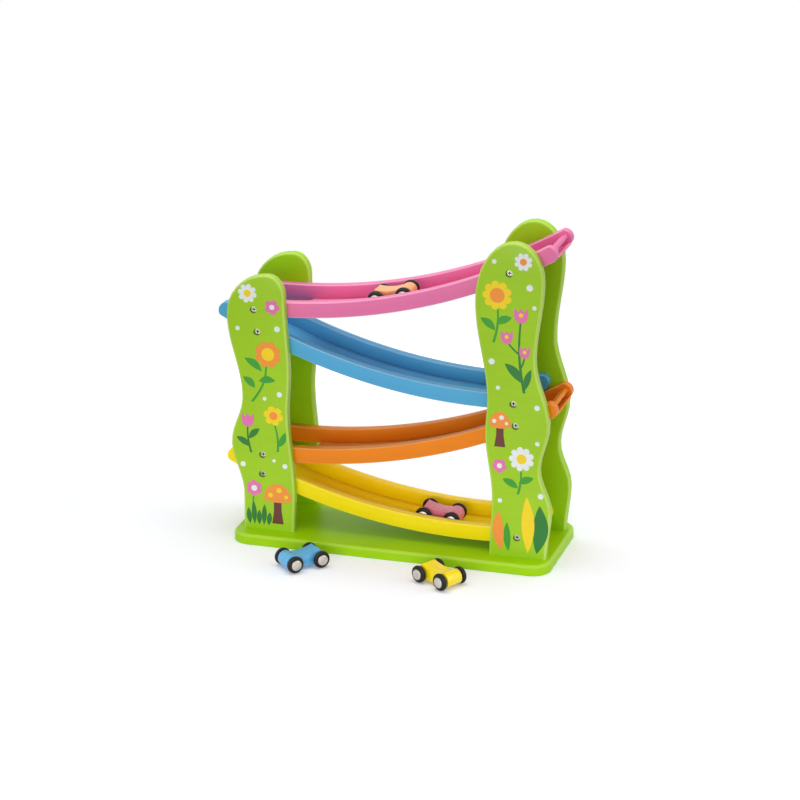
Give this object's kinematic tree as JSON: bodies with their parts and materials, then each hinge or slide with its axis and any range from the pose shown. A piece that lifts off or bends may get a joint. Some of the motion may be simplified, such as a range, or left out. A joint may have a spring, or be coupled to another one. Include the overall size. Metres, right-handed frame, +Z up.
{
  "type": "click clack track toy",
  "caption": "Wooden ramp racer: curved coloured ramps zigzag down between wavy green panels, and small wooden cars roll along them and drop from ramp to ramp.",
  "frame": {"origin": "middle of the base plate's underside, on the table", "axes": "+X to the right along the ramps, towards the taller panels; +Y to the back; +Z up"},
  "size_m": [0.4223, 0.2376, 0.405],
  "materials": {
    "green_paint": "satin paint",
    "pink_paint": "satin paint",
    "blue_paint": "satin paint",
    "orange_paint": "satin paint",
    "yellow_paint": "satin paint",
    "orange_stain": "clear lacquer over stain",
    "pink_stain": "clear lacquer over stain",
    "blue_stain": "clear lacquer over stain",
    "yellow_stain": "clear lacquer over stain",
    "black_rubber": "matte",
    "bright_steel": "polished",
    "screw_steel": "zinc plated"
  },
  "bodies": {
    "track": {"base_plate": "green_paint", "left_front_panel": "green_paint", "left_back_panel": "green_paint", "right_front_panel": "green_paint", "right_back_panel": "green_paint", "pink_front_rail": "pink_paint", "pink_back_rail": "pink_paint", "pink_floor": "pink_paint", "pink_end_stop": "pink_paint", "blue_front_rail": "blue_paint", "blue_back_rail": "blue_paint", "blue_floor": "blue_paint", "blue_end_stop": "blue_paint", "orange_front_rail": "orange_paint", "orange_back_rail": "orange_paint", "orange_floor": "orange_paint", "orange_end_stop": "orange_paint", "yellow_front_rail": "yellow_paint", "yellow_back_rail": "yellow_paint", "yellow_floor": "yellow_paint", "yellow_end_stops": "yellow_paint", "panel_screws": "screw_steel", "base_screws": "screw_steel"},
    "orange_car": {"orange_car_body": "orange_stain"},
    "orange_car_front_wheels": {"orange_car_front_axle": "bright_steel", "orange_car_front_left_wheel": "black_rubber", "orange_car_front_right_wheel": "black_rubber", "orange_car_front_caps": "bright_steel"},
    "orange_car_rear_wheels": {"orange_car_rear_axle": "bright_steel", "orange_car_rear_left_wheel": "black_rubber", "orange_car_rear_right_wheel": "black_rubber", "orange_car_rear_caps": "bright_steel"},
    "pink_car": {"pink_car_body": "pink_stain"},
    "pink_car_front_wheels": {"pink_car_front_axle": "bright_steel", "pink_car_front_left_wheel": "black_rubber", "pink_car_front_right_wheel": "black_rubber", "pink_car_front_caps": "bright_steel"},
    "pink_car_rear_wheels": {"pink_car_rear_axle": "bright_steel", "pink_car_rear_left_wheel": "black_rubber", "pink_car_rear_right_wheel": "black_rubber", "pink_car_rear_caps": "bright_steel"},
    "blue_car": {"blue_car_body": "blue_stain"},
    "blue_car_front_wheels": {"blue_car_front_axle": "bright_steel", "blue_car_front_left_wheel": "black_rubber", "blue_car_front_right_wheel": "black_rubber", "blue_car_front_caps": "bright_steel"},
    "blue_car_rear_wheels": {"blue_car_rear_axle": "bright_steel", "blue_car_rear_left_wheel": "black_rubber", "blue_car_rear_right_wheel": "black_rubber", "blue_car_rear_caps": "bright_steel"},
    "yellow_car": {"yellow_car_body": "yellow_stain"},
    "yellow_car_front_wheels": {"yellow_car_front_axle": "bright_steel", "yellow_car_front_left_wheel": "black_rubber", "yellow_car_front_right_wheel": "black_rubber", "yellow_car_front_caps": "bright_steel"},
    "yellow_car_rear_wheels": {"yellow_car_rear_axle": "bright_steel", "yellow_car_rear_left_wheel": "black_rubber", "yellow_car_rear_right_wheel": "black_rubber", "yellow_car_rear_caps": "bright_steel"}
  },
  "joints": [
    {"name": "orange_car_run", "type": "hinge", "parent": "track", "child": "orange_car", "pos_m": [-0.16466, 0, 0.98595], "axis": [0, -1, 0], "range_deg": [-8, 15]},
    {"name": "orange_car_front_axle", "type": "hinge", "parent": "orange_car", "child": "orange_car_front_wheels", "pos_m": [0.00546, -0.006, 0.31807], "axis": [0, 1, 0], "continuous": true},
    {"name": "orange_car_rear_axle", "type": "hinge", "parent": "orange_car", "child": "orange_car_rear_wheels", "pos_m": [-0.02916, -0.006, 0.3102], "axis": [0, 1, 0], "continuous": true},
    {"name": "pink_car_run", "type": "hinge", "parent": "track", "child": "pink_car", "pos_m": [0.09443, 0, 0.72616], "axis": [0, 1, 0], "range_deg": [-7.2, 19]},
    {"name": "pink_car_front_axle", "type": "hinge", "parent": "pink_car", "child": "pink_car_front_wheels", "pos_m": [0.06633, -0.006, 0.03754], "axis": [0, 1, 0], "continuous": true},
    {"name": "pink_car_rear_axle", "type": "hinge", "parent": "pink_car", "child": "pink_car_rear_wheels", "pos_m": [0.03091, -0.006, 0.0399], "axis": [0, 1, 0], "continuous": true},
    {"name": "blue_car_roll", "type": "slide", "parent": "track", "child": "blue_car", "axis": [-0.6947, -0.7193, 0], "range_m": [-0.008, 0.06]},
    {"name": "blue_car_front_axle", "type": "hinge", "parent": "blue_car", "child": "blue_car_front_wheels", "pos_m": [-0.10333, -0.13827, 0.0105], "axis": [0.7193, -0.6947, 0], "continuous": true},
    {"name": "blue_car_rear_axle", "type": "hinge", "parent": "blue_car", "child": "blue_car_rear_wheels", "pos_m": [-0.07867, -0.11273, 0.0105], "axis": [0.7193, -0.6947, 0], "continuous": true},
    {"name": "yellow_car_roll", "type": "slide", "parent": "track", "child": "yellow_car", "axis": [0.8746, -0.4848, 0], "range_m": [-0.015, 0.06]},
    {"name": "yellow_car_front_axle", "type": "hinge", "parent": "yellow_car", "child": "yellow_car_front_wheels", "pos_m": [0.09702, -0.13761, 0.0105], "axis": [0.4848, 0.8746, 0], "continuous": true},
    {"name": "yellow_car_rear_axle", "type": "hinge", "parent": "yellow_car", "child": "yellow_car_rear_wheels", "pos_m": [0.06598, -0.1204, 0.0105], "axis": [0.4848, 0.8746, 0], "continuous": true}
  ]
}
